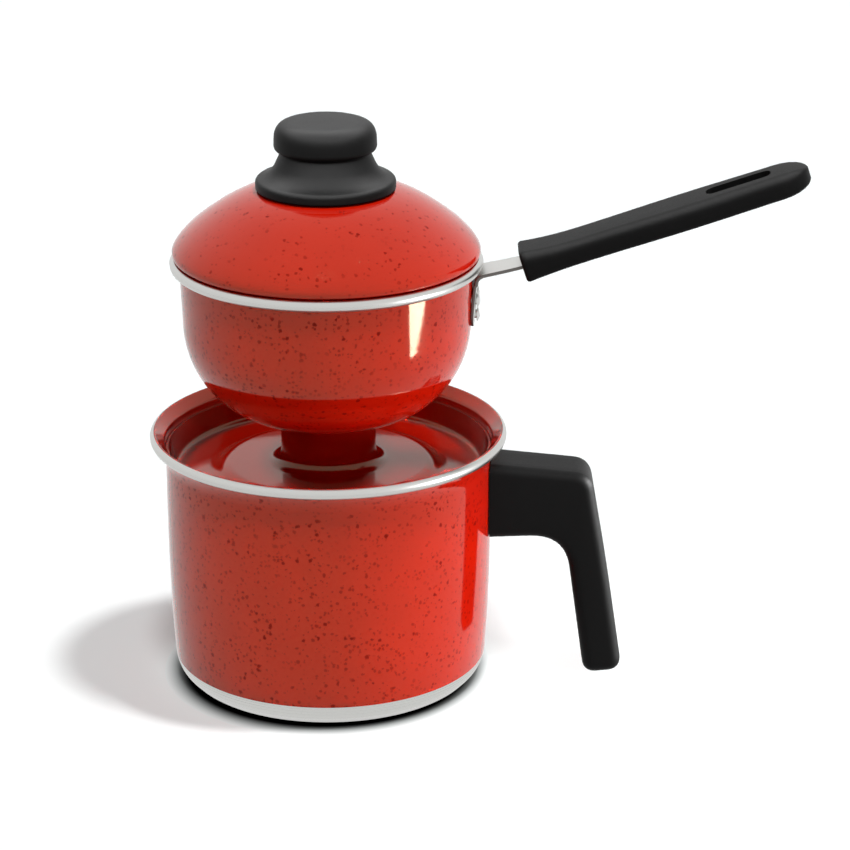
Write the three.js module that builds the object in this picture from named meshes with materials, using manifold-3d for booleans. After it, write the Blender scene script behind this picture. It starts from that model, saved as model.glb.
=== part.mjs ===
// A couscous steamer for one person: a boiler mug, a steam plate with its neck, a bowl, a sieve and a lid.
// Millimetres, +Z up. The origin is the centre of the boiler's base, and both handles point to +X.

import * as THREE from 'three';
import { mergeVertices } from 'three/addons/utils/BufferGeometryUtils.js';
import Module from 'manifold-3d';

const wasm = await Module();
wasm.setup();

// Driving dimensions

const GAP = 0.3;                  // left between pieces that touch
const FACETS = 32;                // around every spun sheet
const KNOB_FACETS = 24;
const SMALL_FACETS = 12;          // around screws, rivets and holes
const FILLET_STEP = 0.45;         // radians between the points of a rounded corner
const DRILL = 8;                  // reach of a drilled hole to each side of a wall

const BOILER = {
  sheet: 1.2,
  footRadius: 60.3,               // flat that stands on the stove
  bandRadius: 62.3,               // bare bevel round the base, lower edge
  bandBottom: 1.5,
  bandBulge: [66, 4.2],           // pulls the bevel outwards
  bandTopRadius: 66.6,
  bandTop: 9.75,
  wallBulge: [69, 40],            // the wall is a little fuller at mid height
  wallRadius: 68.7,
  flareBottom: 96,
  flareLead: 4.2,                 // height over which the wall turns into the flare
  rimRadius: 72.9,                // centre of the rolled rim
  rimHeight: 107,
  rollRadius: 2.35,
  rollFrom: -110,                 // degrees round the roll, from the outside to the edge
  rollTo: 218,
};

const PLATE = {
  sheet: 1,
  height: 94.5,                   // of the flat middle
  flatRadius: 43.5,
  step: 2.4,                      // from the flat middle down to the drip channel
  stepWidth: 5,
  fall: 2.8,                      // of the channel's outer edge below the flat middle
  cornerRadius: 65.3,
  cornerFillet: 2.2,
  flangeShare: 0.6,               // of the boiler's flare that the flange covers
};

const NECK = {
  radius: 20,
  root: 12,                       // fillet between neck and plate
  shoulder: 115.9,                // carries the bowl's floor
  throat: 17.6,                   // passes through the bowl's hole
  curl: 21.4,                     // edge folded over the bowl's floor
};

const BOWL = {
  sheet: 1.2,
  floorRadius: 22,
  bellyHeight: 158,               // where the round floor meets the wall
  bellyRadius: 60.1,
  rimRadius: 62.6,
  rimHeight: 182.7,
  rollRadius: 2.4,
  rollFrom: -132,
  rollTo: 165,
};

const SIEVE = { radius: 44, sheet: 1, hole: 2.2, pitch: 9.6, rings: 4 };

const LID = {
  sheet: 1,
  skirtRadius: 59.2,              // locates the lid inside the bowl's mouth
  skirtDepth: 5.9,
  edgeRadius: 63.9,
  edgeTuck: 2.4,                  // rounding under the edge
  edgeHeight: 187.6,
  shoulderBulge: [63.9, 190.6],
  shoulderRadius: 56.5,
  shoulderHeight: 197.5,
  domeBulge: [40.6, 210.9],
  crownRadius: 27,
  crownHeight: 213.7,
};

// Corners of the knob's side: distance from the axis, height above its seat and corner radius
const KNOB = {
  base: [29, 0, 0.7],
  rim: [29, 4, 1.6],
  flare: [22.6, 6.2, 6.5],
  waist: [18.4, 15.4, 1.4],
  head: [21.3, 16.6, 3.5],
  crown: [21, 28, 7],
  top: [0, 28.3, 0],
};

const SCREW = { shank: 2.2, head: 4.2, headHeight: 2.4, hole: 2.6 };
const RIVET = { shank: 1.9, head: 3.2, headHeight: 1.1, seat: 0.48 };
const NUT = { size: 7.6, thickness: 4 };
const INSERT = { radius: 5, height: 14 };
const WASHER = { radius: 7.5, thickness: 1 };

// Corners of the boiler's grip in its side view: distance from the axis, height and corner radius
const MUG_GRIP = {
  thickness: 26,
  roundSide: 8,                   // edge rounding, measured across the thickness
  roundOutline: 6,                // edge rounding, measured in the side view
  rootTop: [60.7, 96.2, 0],
  outerTop: [111.8, 91.4, 7],
  outerBulge: [119.2, 46, 150],
  outerBottom: [125.9, 2, 7.2],
  innerBottom: [109.3, 0.7, 6.6],
  elbow: [100.2, 63.4, 17],
  rootUnder: [60.7, 62.2, 0],
  screwHeight: 78.5,
  screwSeat: 103.5,               // bottom of the counterbore
  screwBeyond: 3,                 // the screw's end past its nut
  footPocket: 6,                  // depth of the pocket for the bracket's foot
};

const BRACKET = {
  sheet: 1.5,
  width: 16,
  height: 23,
  rivetInset: 3.2,
  tongue: 20,
  tongueWidth: 12,
  tongueHeight: 10,
};

const STRAP = {
  sheet: 1.5,
  width: 16,
  footWidth: 19.6,
  footRound: 8,
  footBottom: 155.2,
  footTop: 174,
  bendOut: 3.8,                   // from the foot to the end of the bend
  bendBelow: 4.2,                 // under the centre of the bowl's rim
  kinkAt: -1.5,                   // along the grip's axis, where the bar meets the tang
  tang: 30,
};

const GRIP = {
  start: new THREE.Vector2(82.2, 182.1),
  slope: THREE.MathUtils.degToRad(18.3),
  length: 122.5,
  width: 24,
  height: 9.8,
  edge: 4,
  belly: 2.6,                     // extra width where the palm lies
  bellyAt: 70,
  bellyReach: 42,
  collar: 1.9,                    // extra height at the collar where the strap goes in
  collarLength: 24,
  endRound: 11,
  tipWidth: 0.12,                 // of the full width and height
  tipHeight: 0.5,
  slotCentre: 93.5,
  slotLength: 27.5,
  slotWidth: 7,
  screwAt: 16,
  screwSeat: 2,                   // depth of the counterbore
  screwEnd: 2.2,                  // below the upper side
};

// Finishes

const redCoat = new THREE.MeshStandardMaterial({ color: 0xc8321c, roughness: 0.22, metalness: 0 });
const aluminium = new THREE.MeshStandardMaterial({ color: 0xc9cbc8, roughness: 0.35, metalness: 1 });
const phenolic = new THREE.MeshStandardMaterial({ color: 0x1c1c1c, roughness: 0.5, metalness: 0 });
const zincSteel = new THREE.MeshStandardMaterial({ color: 0xb4b6b8, roughness: 0.4, metalness: 1 });
const brass = new THREE.MeshStandardMaterial({ color: 0xb58d3d, roughness: 0.4, metalness: 1 });

// Solids

function solid(geometry) {
  const bare = geometry.clone();
  bare.deleteAttribute('normal');
  bare.deleteAttribute('uv');
  const merged = mergeVertices(bare, 1e-4);
  const corners = merged.index.array;
  const triangles = [];
  for (let i = 0; i < corners.length; i += 3) {
    const [a, b, c] = corners.subarray(i, i + 3);
    if (a !== b && b !== c && c !== a) {
      triangles.push(a, b, c);
    }
  }
  const vertProperties = new Float32Array(merged.attributes.position.array);
  if (signedVolume(vertProperties, triangles) < 0) {
    triangles.reverse();
  }
  const triVerts = new Uint32Array(triangles);
  return new wasm.Manifold(new wasm.Mesh({ numProp: 3, vertProperties, triVerts }));
}

function signedVolume(positions, triangles) {
  const [a, b, c] = [new THREE.Vector3(), new THREE.Vector3(), new THREE.Vector3()];
  let volume = 0;
  for (let i = 0; i < triangles.length; i += 3) {
    a.fromArray(positions, triangles[i] * 3);
    b.fromArray(positions, triangles[i + 1] * 3);
    c.fromArray(positions, triangles[i + 2] * 3);
    volume += a.dot(b.cross(c)) / 6;
  }
  return volume;
}

function piece(name, body, material) {
  const { vertProperties, triVerts } = body.getMesh();
  const geometry = new THREE.BufferGeometry();
  geometry.setAttribute('position', new THREE.BufferAttribute(vertProperties, 3));
  geometry.setIndex(new THREE.BufferAttribute(triVerts, 1));
  geometry.computeVertexNormals();
  const mesh = new THREE.Mesh(geometry, material);
  mesh.name = name;
  return mesh;
}

const point = (x, y) => new THREE.Vector2(x, y);

function onCircle(centre, radius, degrees) {
  const angle = THREE.MathUtils.degToRad(degrees);
  return point(radius * Math.cos(angle), radius * Math.sin(angle)).add(centre);
}

// A profile of radius and height, turned about the vertical axis.
function spun(profile, facets = FACETS) {
  return new THREE.LatheGeometry(profile, facets).rotateX(Math.PI / 2);
}

// The same, turned about the X axis, for rivets and screws that lie flat.
function turned(profile, facets = SMALL_FACETS) {
  return new THREE.LatheGeometry(profile, facets).rotateZ(-Math.PI / 2);
}

// An outline in the XZ plane, given a thickness along Y that is centred on Y = 0.
function slab(outline, thickness, rounding = {}) {
  const settings = { bevelEnabled: false, curveSegments: 6, ...rounding, depth: thickness };
  const across = rounding.bevelThickness ?? 0;
  settings.depth = thickness - 2 * across;
  const geometry = new THREE.ExtrudeGeometry(outline, settings);
  return geometry.rotateX(Math.PI / 2).translate(0, settings.depth / 2, 0);
}

// The points of a closed outline through corners given as x, y and corner radius.
function filleted(corners) {
  return corners.flatMap(([x, y, radius], i) => {
    const here = point(x, y);
    if (radius === 0) {
      return [here];
    }
    const toBefore = point(...corners.at(i - 1)).sub(here).normalize();
    const toAfter = point(...corners[(i + 1) % corners.length]).sub(here).normalize();
    const halfAngle = Math.acos(toBefore.dot(toAfter)) / 2;
    const bisector = toBefore.clone().add(toAfter).normalize();
    const centre = here.clone().addScaledVector(bisector, radius / Math.sin(halfAngle));
    const reach = radius / Math.tan(halfAngle);
    const from = here.clone().addScaledVector(toBefore, reach).sub(centre).angle();
    const to = here.clone().addScaledVector(toAfter, reach).sub(centre).angle();
    const clockwise = toBefore.cross(toAfter) > 0;
    const steps = Math.ceil((Math.PI - 2 * halfAngle) / FILLET_STEP);
    return new THREE.EllipseCurve(centre.x, centre.y, radius, radius, from, to, clockwise).getPoints(steps);
  });
}

function box(size, centre) {
  return new THREE.BoxGeometry(...size).translate(...centre);
}

// A rod along X.
function rod(radius, from, to, facets = SMALL_FACETS) {
  const cylinder = new THREE.CylinderGeometry(radius, radius, to - from, facets);
  return cylinder.rotateZ(Math.PI / 2).translate((from + to) / 2, 0, 0);
}

// The points of a path, without the doubled points where two of its curves meet.
function pointsOf(path, divisions) {
  const points = path.getPoints(divisions);
  return points.filter((here, i) => i === 0 || here.distanceTo(points[i - 1]) > 0.01);
}

// A line of points moved sideways, to the left of its direction, with mitred corners.
function beside(line, distance) {
  return line.map((here, i) => {
    const into = here.clone().sub(line[Math.max(i - 1, 0)]);
    const out = line[Math.min(i + 1, line.length - 1)].clone().sub(here);
    const first = (into.length() > 0 ? into : out).clone().normalize();
    const second = (out.length() > 0 ? out : into).clone().normalize();
    const sum = point(-first.y - second.y, first.x + second.x);
    return here.clone().addScaledVector(sum, distance / (1 + first.dot(second)));
  });
}

function arc(centre, radius, fromDegrees, toDegrees, steps) {
  const [from, to] = [fromDegrees, toDegrees].map(THREE.MathUtils.degToRad);
  return new THREE.EllipseCurve(...centre, radius, radius, from, to, to < from).getPoints(steps);
}

// An outer line and its inner line, joined by a rolled edge.
function rolledOutline(outer, inner, { rimRadius, rimHeight, rollRadius, rollFrom, rollTo }) {
  const roll = arc([rimRadius, rimHeight], rollRadius, rollFrom, rollTo, 7).slice(1, -1);
  return [...outer, ...roll, ...inner.toReversed()];
}

function rollStart({ rimRadius, rimHeight, rollRadius, rollFrom }) {
  return onCircle(point(rimRadius, rimHeight), rollRadius, rollFrom);
}

function ring(outline) {
  return [...outline, outline[0].clone()];
}

// Boiler mug: one spun sheet from the foot to the rolled rim

const flare = new THREE.QuadraticBezierCurve(
  point(BOILER.wallRadius, BOILER.flareBottom),
  point(BOILER.wallRadius, BOILER.flareBottom + BOILER.flareLead),
  rollStart(BOILER),
);

const potSide = new THREE.Path();
potSide.moveTo(0, 0);
potSide.lineTo(BOILER.footRadius, 0);
potSide.lineTo(BOILER.bandRadius, BOILER.bandBottom);
potSide.quadraticCurveTo(...BOILER.bandBulge, BOILER.bandTopRadius, BOILER.bandTop);
potSide.quadraticCurveTo(...BOILER.wallBulge, BOILER.wallRadius, BOILER.flareBottom);
potSide.curves.push(flare);
const potOuter = pointsOf(potSide, 4);
const potInner = beside(potOuter, BOILER.sheet);

// Everything inside a surface that stands off the outside of the boiler or the bowl.
function envelope(outer, standOff) {
  const skin = beside(outer, -standOff);
  return solid(spun([point(0, skin[0].y), ...skin.filter((p) => p.x > 0), point(0, skin.at(-1).y)]));
}

function boilerPot() {
  let pot = solid(spun(rolledOutline(potOuter, potInner, BOILER)));
  for (const height of bracketRivetHeights) {
    const hole = rod(RIVET.shank + GAP, BOILER.wallRadius - DRILL, BOILER.wallRadius + DRILL);
    pot = pot.subtract(solid(hole.translate(0, 0, height)));
  }
  return pot;
}

// Boiler handle: a riveted bracket inside the root of a moulded grip, held by one long screw

const bracketEnd = BOILER.wallRadius + GAP + BRACKET.tongue;
const bracketRivetSpread = BRACKET.height / 2 - BRACKET.rivetInset;
const bracketRivetHeights = [-1, 1].map((side) => MUG_GRIP.screwHeight + side * bracketRivetSpread);

function rivet(wallInside, plateOutside) {
  const inside = wallInside - RIVET.seat;
  const outside = plateOutside + RIVET.seat;
  const profile = [
    point(0, inside - RIVET.headHeight),
    point(RIVET.head, inside - RIVET.headHeight),
    point(RIVET.head, inside),
    point(RIVET.shank, inside),
    point(RIVET.shank, outside),
    point(RIVET.head, outside),
    point(RIVET.head * 0.86, outside + RIVET.headHeight * 0.6),
    point(RIVET.head * 0.5, outside + RIVET.headHeight),
    point(0, outside + RIVET.headHeight),
  ];
  return turned(profile);
}

// A pan-head screw with its tip at 0 and its head beyond its length.
function screwProfile(length) {
  return [
    point(0, 0),
    point(SCREW.shank, 0),
    point(SCREW.shank, length),
    point(SCREW.head, length),
    point(SCREW.head, length + SCREW.headHeight * 0.6),
    point(SCREW.head * 0.6, length + SCREW.headHeight),
    point(0, length + SCREW.headHeight),
  ];
}

function boilerRivet(height) {
  const plate = BOILER.wallRadius + GAP + BRACKET.sheet;
  return solid(rivet(BOILER.wallRadius - BOILER.sheet, plate).translate(0, 0, height));
}

function boilerBracket() {
  const height = MUG_GRIP.screwHeight;
  const { sheet, width, tongueWidth } = BRACKET;
  const wall = BOILER.wallRadius + GAP;
  const foot = box([2 * DRILL, width, BRACKET.height], [wall, 0, height]);
  const outside = envelope(potOuter, GAP + sheet);
  let bracket = outside.subtract(envelope(potOuter, GAP)).intersect(solid(foot));
  const half = tongueWidth / 2;
  const cheek = half - sheet;
  const channel = new THREE.Shape([
    point(wall, -half),
    point(bracketEnd, -half),
    point(bracketEnd, half),
    point(wall, half),
    point(wall, cheek),
    point(bracketEnd - sheet, cheek),
    point(bracketEnd - sheet, -cheek),
    point(wall, -cheek),
  ]);
  const folded = new THREE.ExtrudeGeometry(channel, { depth: BRACKET.tongueHeight, bevelEnabled: false });
  folded.translate(0, 0, height - BRACKET.tongueHeight / 2);
  bracket = bracket.add(solid(folded).subtract(envelope(potOuter, GAP)));
  const screwHole = rod(SCREW.hole, bracketEnd - DRILL, bracketEnd + DRILL).translate(0, 0, height);
  bracket = bracket.subtract(solid(screwHole));
  for (const rivetHeight of bracketRivetHeights) {
    const hole = rod(RIVET.shank + GAP, wall - DRILL, wall + DRILL).translate(0, 0, rivetHeight);
    bracket = bracket.subtract(solid(hole));
  }
  return bracket;
}

function boilerNut() {
  const face = bracketEnd - BRACKET.sheet - GAP;
  const block = box([NUT.thickness, NUT.size, NUT.size], [face - NUT.thickness / 2, 0, 0]);
  const thread = rod(SCREW.hole, face - DRILL, face + DRILL);
  return solid(block).subtract(solid(thread)).translate(0, 0, MUG_GRIP.screwHeight);
}

function boilerScrew() {
  const tip = bracketEnd - BRACKET.sheet - NUT.thickness - MUG_GRIP.screwBeyond;
  const length = MUG_GRIP.screwSeat + GAP - tip;
  return solid(turned(screwProfile(length)).translate(tip, 0, MUG_GRIP.screwHeight));
}

function boilerGrip() {
  const { rootTop, outerTop, outerBulge, outerBottom, innerBottom, elbow, rootUnder } = MUG_GRIP;
  const corners = [rootTop, outerTop, outerBulge, outerBottom, innerBottom, elbow, rootUnder];
  const outline = new THREE.Shape(filleted(corners));
  const rounding = {
    bevelEnabled: true,
    bevelThickness: MUG_GRIP.roundSide,
    bevelSize: MUG_GRIP.roundOutline,
    bevelOffset: -MUG_GRIP.roundOutline,
    bevelSegments: 3,
  };
  let grip = solid(slab(outline, MUG_GRIP.thickness, rounding));
  grip = grip.subtract(envelope(potOuter, GAP));
  const height = MUG_GRIP.screwHeight;
  const pocketDepth = BRACKET.tongue + 2 * GAP;
  const wall = BOILER.wallRadius + GAP;
  const footRoom = box([2 * MUG_GRIP.footPocket, BRACKET.width + 1, BRACKET.height + 1], [wall, 0, height]);
  const tongueRoom = box(
    [2 * pocketDepth, BRACKET.tongueWidth + 2 * GAP, BRACKET.tongueHeight + 2 * GAP],
    [wall, 0, height],
  );
  grip = grip.subtract(solid(footRoom)).subtract(solid(tongueRoom));
  const seat = MUG_GRIP.screwSeat;
  const shankHole = rod(SCREW.hole, wall, seat + DRILL).translate(0, 0, height);
  const counterbore = rod(SCREW.head + GAP, seat, outerBottom[0]).translate(0, 0, height);
  return grip.subtract(solid(shankHole)).subtract(solid(counterbore));
}

// Steam plate: a flange on the boiler's flare, a recess, a flat middle and the neck in one sheet

function steamPlate() {
  const standOff = BOILER.sheet + GAP + PLATE.sheet;
  const steps = 5;
  const flange = beside(flare.getPoints(steps), standOff);
  const covered = flange.filter((p, i) => i / steps <= PLATE.flangeShare).reverse();
  const { height, flatRadius, fall, cornerRadius, cornerFillet } = PLATE;
  const channel = height - fall;
  const side = new THREE.Path(covered);
  side.lineTo(cornerRadius, channel + cornerFillet);
  side.quadraticCurveTo(cornerRadius, channel, cornerRadius - cornerFillet, channel);
  side.lineTo(flatRadius + PLATE.stepWidth, height - PLATE.step);
  side.lineTo(flatRadius, height);
  side.lineTo(NECK.radius + NECK.root, height);
  side.quadraticCurveTo(NECK.radius, height, NECK.radius, height + NECK.root);
  side.lineTo(NECK.radius, NECK.shoulder);
  side.lineTo(NECK.throat, NECK.shoulder);
  const fold = NECK.shoulder + BOWL.sheet + 2 * GAP;
  side.lineTo(NECK.throat, fold);
  side.lineTo(NECK.curl, fold);
  const upper = pointsOf(side, 3);
  const lower = beside(upper, PLATE.sheet);
  return solid(spun(ring([...upper, ...lower.reverse()])));
}

// Bowl: a round floor on the neck's shoulder, a wall and a rolled rim

const bowlFloor = NECK.shoulder + GAP;
const bowlSide = new THREE.Path();
bowlSide.moveTo(NECK.throat + GAP, bowlFloor);
bowlSide.lineTo(BOWL.floorRadius, bowlFloor);
bowlSide.absellipse(
  BOWL.floorRadius, BOWL.bellyHeight,
  BOWL.bellyRadius - BOWL.floorRadius, BOWL.bellyHeight - bowlFloor,
  -Math.PI / 2, 0, false, 0,
);
bowlSide.lineTo(...rollStart(BOWL));
const bowlOuter = pointsOf(bowlSide, 4);
const bowlInner = beside(bowlOuter, BOWL.sheet);
const mouthRadius = bowlOuter.at(-1).x;

function steamerBowl() {
  const mouth = point(bowlInner.at(-1).x, BOWL.rimHeight);
  let bowl = solid(spun(ring(rolledOutline(bowlOuter, [...bowlInner, mouth], BOWL))));
  for (const { turn, height } of bowlRivets) {
    const hole = rod(RIVET.shank + GAP, BOWL.bellyRadius - DRILL, BOWL.bellyRadius + DRILL);
    bowl = bowl.subtract(solid(hole.rotateZ(turn).translate(0, 0, height)));
  }
  return bowl;
}

function radiusAt(line, height) {
  const above = line.findIndex((p) => p.y > height);
  const [low, high] = [line[above - 1], line[above]];
  return THREE.MathUtils.mapLinear(height, low.y, high.y, low.x, high.x);
}

function heightAt(line, radius) {
  const beyond = line.findIndex((p) => p.x > radius);
  const [near, far] = [line[beyond - 1], line[beyond]];
  return THREE.MathUtils.mapLinear(radius, near.x, far.x, near.y, far.y);
}

// Bowl handle: a bent strap riveted under the rim, and a moulded grip screwed to its tang

const bowlRivets = [
  { name: 'left', turn: THREE.MathUtils.degToRad(5.3), height: 167.2 },
  { name: 'right', turn: THREE.MathUtils.degToRad(-5.3), height: 167.2 },
  { name: 'bottom', turn: 0, height: 159.4 },
];

function bowlRivet({ turn, height }) {
  const inside = radiusAt(bowlInner, height);
  const outside = radiusAt(bowlOuter, height) + GAP + STRAP.sheet;
  return solid(rivet(inside, outside).rotateZ(turn).translate(0, 0, height));
}

// A point of the grip's side view: how far along its axis, and how far above it.
function gripPoint(along, above) {
  return point(along, above).rotateAround(point(0, 0), GRIP.slope).add(GRIP.start);
}

function bowlStrap() {
  const { sheet, width, footWidth, footRound, footBottom, footTop, bendOut, bendBelow, kinkAt, tang } = STRAP;
  const shell = envelope(bowlOuter, GAP + sheet).subtract(envelope(bowlOuter, GAP));
  const footHeight = footTop - footBottom;
  const footOutline = roundedRectangle(footWidth, footHeight, footRound);
  const foot = new THREE.ExtrudeGeometry(footOutline, { depth: 2 * DRILL, bevelEnabled: false, curveSegments: 5 })
    .rotateX(Math.PI / 2)
    .rotateZ(Math.PI / 2)
    .translate(mouthRadius - DRILL, 0, footBottom + footHeight / 2);
  const middle = mouthRadius + GAP + sheet / 2;
  const bendEnd = point(middle + bendOut, BOWL.rimHeight - bendBelow);
  const run = new THREE.Path();
  run.moveTo(middle, footTop - 2 * sheet);
  run.lineTo(middle, footTop);
  run.quadraticCurveTo(middle, bendEnd.y - sheet / 2, ...bendEnd);
  run.lineTo(...gripPoint(kinkAt, 0));
  run.lineTo(...gripPoint(tang, 0));
  const centre = pointsOf(run, 3);
  const outline = [...beside(centre, sheet / 2), ...beside(centre, -sheet / 2).reverse()];
  const bar = slab(new THREE.Shape(outline), width);
  const screwHole = gripRod(SCREW.hole, -DRILL, DRILL);
  let strap = shell.intersect(solid(foot)).add(solid(bar)).subtract(solid(screwHole));
  for (const { turn, height } of bowlRivets) {
    const hole = rod(RIVET.shank + GAP, mouthRadius - DRILL, mouthRadius + DRILL);
    strap = strap.subtract(solid(hole.rotateZ(turn).translate(0, 0, height)));
  }
  return strap;
}

// A rod across the grip at its screw, between two heights above the grip's axis.
function gripRod(radius, from, to) {
  return placedOnGrip(rod(radius, from, to).rotateY(-Math.PI / 2).translate(GRIP.screwAt, 0, 0));
}

// Geometry drawn along +X with its upper side to +Z, carried to the grip's place.
function placedOnGrip(geometry) {
  return geometry.rotateY(-GRIP.slope).translate(GRIP.start.x, 0, GRIP.start.y);
}

function roundedRectangle(width, height, radius) {
  const [x, y] = [width / 2 - radius, height / 2 - radius];
  const outline = new THREE.Shape();
  outline.absarc(x, y, radius, 0, Math.PI / 2);
  outline.absarc(-x, y, radius, Math.PI / 2, Math.PI);
  outline.absarc(-x, -y, radius, Math.PI, 1.5 * Math.PI);
  outline.absarc(x, -y, radius, 1.5 * Math.PI, 2 * Math.PI);
  return outline;
}

function bowlGrip() {
  const { length, width, height, edge, collar, collarLength, endRound } = GRIP;
  const steps = 18;
  const endSteps = 6;
  const section = roundedRectangle(width, height, edge);
  const settings = { depth: 1, steps, bevelEnabled: false, curveSegments: 2 };
  const sweep = new THREE.ExtrudeGeometry(section, settings);
  const places = sweep.attributes.position;
  for (let i = 0; i < places.count; i += 1) {
    const step = places.getZ(i) * steps;
    const intoEnd = Math.max(step - (steps - endSteps), 0) / endSteps;
    const straight = Math.min(step / (steps - endSteps), 1) * (length - endRound);
    const along = straight + endRound * Math.sin(intoEnd * Math.PI / 2);
    const narrow = Math.max(Math.cos(intoEnd * Math.PI / 2), GRIP.tipWidth);
    const flat = GRIP.tipHeight + (1 - GRIP.tipHeight) * narrow;
    const fromBelly = Math.min(Math.abs(along - GRIP.bellyAt) / GRIP.bellyReach, 1);
    const wide = 1 + (GRIP.belly / width) * Math.cos(fromBelly * Math.PI / 2) ** 2;
    const swell = 1 + (2 * collar / height) * Math.max(1 - along / collarLength, 0) ** 2;
    places.setXYZ(i, along, places.getX(i) * narrow * wide, places.getY(i) * flat * swell);
  }
  let grip = solid(placedOnGrip(sweep));
  const slot = roundedRectangle(GRIP.slotLength, GRIP.slotWidth, GRIP.slotWidth / 2 - 0.01);
  const through = { depth: 2 * height, bevelEnabled: false, curveSegments: 5 };
  const cutter = new THREE.ExtrudeGeometry(slot, through);
  grip = grip.subtract(solid(placedOnGrip(cutter.translate(GRIP.slotCentre, 0, -height))));
  const socketLength = STRAP.tang + 2 * GAP;
  const socket = box([2 * socketLength, STRAP.width + 2 * GAP, STRAP.sheet + 2 * GAP], [0, 0, 0]);
  grip = grip.subtract(solid(placedOnGrip(socket)));
  grip = grip.subtract(solid(gripRod(SCREW.hole, -height, height / 2 - GRIP.screwEnd + GAP)));
  return grip.subtract(solid(gripRod(SCREW.head + GAP, -height, -height / 2 + GRIP.screwSeat)));
}

function bowlScrew() {
  const tip = GRIP.height / 2 - GRIP.screwEnd;
  const length = tip + GRIP.height / 2 - GRIP.screwSeat + GAP;
  const screw = turned(screwProfile(length)).rotateY(Math.PI / 2);
  return solid(placedOnGrip(screw.translate(GRIP.screwAt, 0, tip)));
}

// Sieve: a loose plate that rests on the bowl's round floor, drilled in rings

function sievePlate() {
  const edge = new THREE.EllipseCurve(0, 0, SIEVE.radius, SIEVE.radius, 0, 2 * Math.PI);
  const plate = new THREE.Shape(edge.getPoints(FACETS).slice(1));
  for (let ringIndex = 0; ringIndex < SIEVE.rings; ringIndex += 1) {
    const count = Math.max(6 * ringIndex, 1);
    for (let i = 0; i < count; i += 1) {
      const turn = 2 * Math.PI * i / count;
      const out = SIEVE.pitch * ringIndex;
      const hole = new THREE.Path();
      hole.absarc(out * Math.cos(turn), out * Math.sin(turn), SIEVE.hole, 0, 2 * Math.PI, true);
      plate.holes.push(hole);
    }
  }
  const settings = { depth: SIEVE.sheet, bevelEnabled: false, curveSegments: 3 };
  const sheet = new THREE.ExtrudeGeometry(plate, settings);
  return solid(sheet.translate(0, 0, heightAt(bowlInner, SIEVE.radius + GAP) + GAP));
}

// Lid: a skirt inside the bowl's mouth, an edge turned round on the rim, a straight cone and a flat crown

const lidSeat = BOWL.rimHeight + BOWL.rollRadius + GAP;

function lidDome() {
  const side = new THREE.Path();
  side.moveTo(LID.skirtRadius, lidSeat - LID.skirtDepth);
  side.lineTo(LID.skirtRadius, lidSeat);
  side.lineTo(LID.edgeRadius - LID.edgeTuck, lidSeat);
  side.quadraticCurveTo(LID.edgeRadius, lidSeat, LID.edgeRadius, LID.edgeHeight);
  side.quadraticCurveTo(...LID.shoulderBulge, LID.shoulderRadius, LID.shoulderHeight);
  side.quadraticCurveTo(...LID.domeBulge, LID.crownRadius, LID.crownHeight);
  side.lineTo(SCREW.hole, LID.crownHeight);
  const upper = pointsOf(side, 4);
  const lower = beside(upper, LID.sheet);
  return solid(spun(ring([...upper, ...lower.reverse()])));
}

// Knob: moulded round a threaded insert, held by a screw from inside the lid

const knobSeat = LID.crownHeight + GAP;

function lidKnob() {
  const { base, rim, flare: foot, waist, head, crown, top } = KNOB;
  const [radius, depth] = [INSERT.radius + GAP, INSERT.height + GAP];
  const pocket = [[0, depth, 0], [radius, depth, 0], [radius, 0, 0]];
  const corners = [...pocket, base, rim, foot, waist, head, crown, top];
  return solid(spun(filleted(corners), KNOB_FACETS).translate(0, 0, knobSeat));
}

function knobInsert() {
  const { radius, height } = INSERT;
  const bore = SCREW.hole;
  const profile = ring([point(bore, 0), point(radius, 0), point(radius, height), point(bore, height)]);
  return solid(spun(profile, SMALL_FACETS).translate(0, 0, knobSeat));
}

const washerTop = LID.crownHeight - LID.sheet - GAP;

function knobWasher() {
  const [inner, outer] = [SCREW.hole, WASHER.radius];
  const profile = ring([
    point(inner, -WASHER.thickness), point(outer, -WASHER.thickness), point(outer, 0), point(inner, 0),
  ]);
  return solid(spun(profile, SMALL_FACETS).translate(0, 0, washerTop));
}

function knobScrew() {
  const seat = washerTop - WASHER.thickness - GAP;
  const tip = knobSeat + INSERT.height - NUT.thickness / 2;
  const screw = spun(screwProfile(tip - seat), SMALL_FACETS).rotateX(Math.PI);
  return solid(screw.translate(0, 0, tip));
}

// The assembly

const boiler = new THREE.Group();
boiler.add(
  piece('boiler_pot', boilerPot(), redCoat),
  piece('boiler_handle_bracket', boilerBracket(), zincSteel),
  piece('boiler_handle_rivet_lower', boilerRivet(bracketRivetHeights[0]), aluminium),
  piece('boiler_handle_rivet_upper', boilerRivet(bracketRivetHeights[1]), aluminium),
  piece('boiler_handle_nut', boilerNut(), zincSteel),
  piece('boiler_handle_screw', boilerScrew(), zincSteel),
  piece('boiler_handle_grip', boilerGrip(), phenolic),
);

const steamer = new THREE.Group();
steamer.add(
  piece('steam_plate', steamPlate(), redCoat),
  piece('steamer_bowl', steamerBowl(), redCoat),
  piece('bowl_handle_strap', bowlStrap(), aluminium),
  ...bowlRivets.map((place) => piece(`bowl_handle_rivet_${place.name}`, bowlRivet(place), aluminium)),
  piece('bowl_handle_grip', bowlGrip(), phenolic),
  piece('bowl_handle_screw', bowlScrew(), zincSteel),
);

const lid = new THREE.Group();
lid.add(
  piece('lid_dome', lidDome(), redCoat),
  piece('lid_knob', lidKnob(), phenolic),
  piece('knob_insert', knobInsert(), brass),
  piece('knob_washer', knobWasher(), aluminium),
  piece('knob_screw', knobScrew(), zincSteel),
);

const couscousSteamer = new THREE.Group();
couscousSteamer.add(boiler, steamer, piece('sieve_plate', sievePlate(), aluminium), lid);

export default couscousSteamer;
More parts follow.
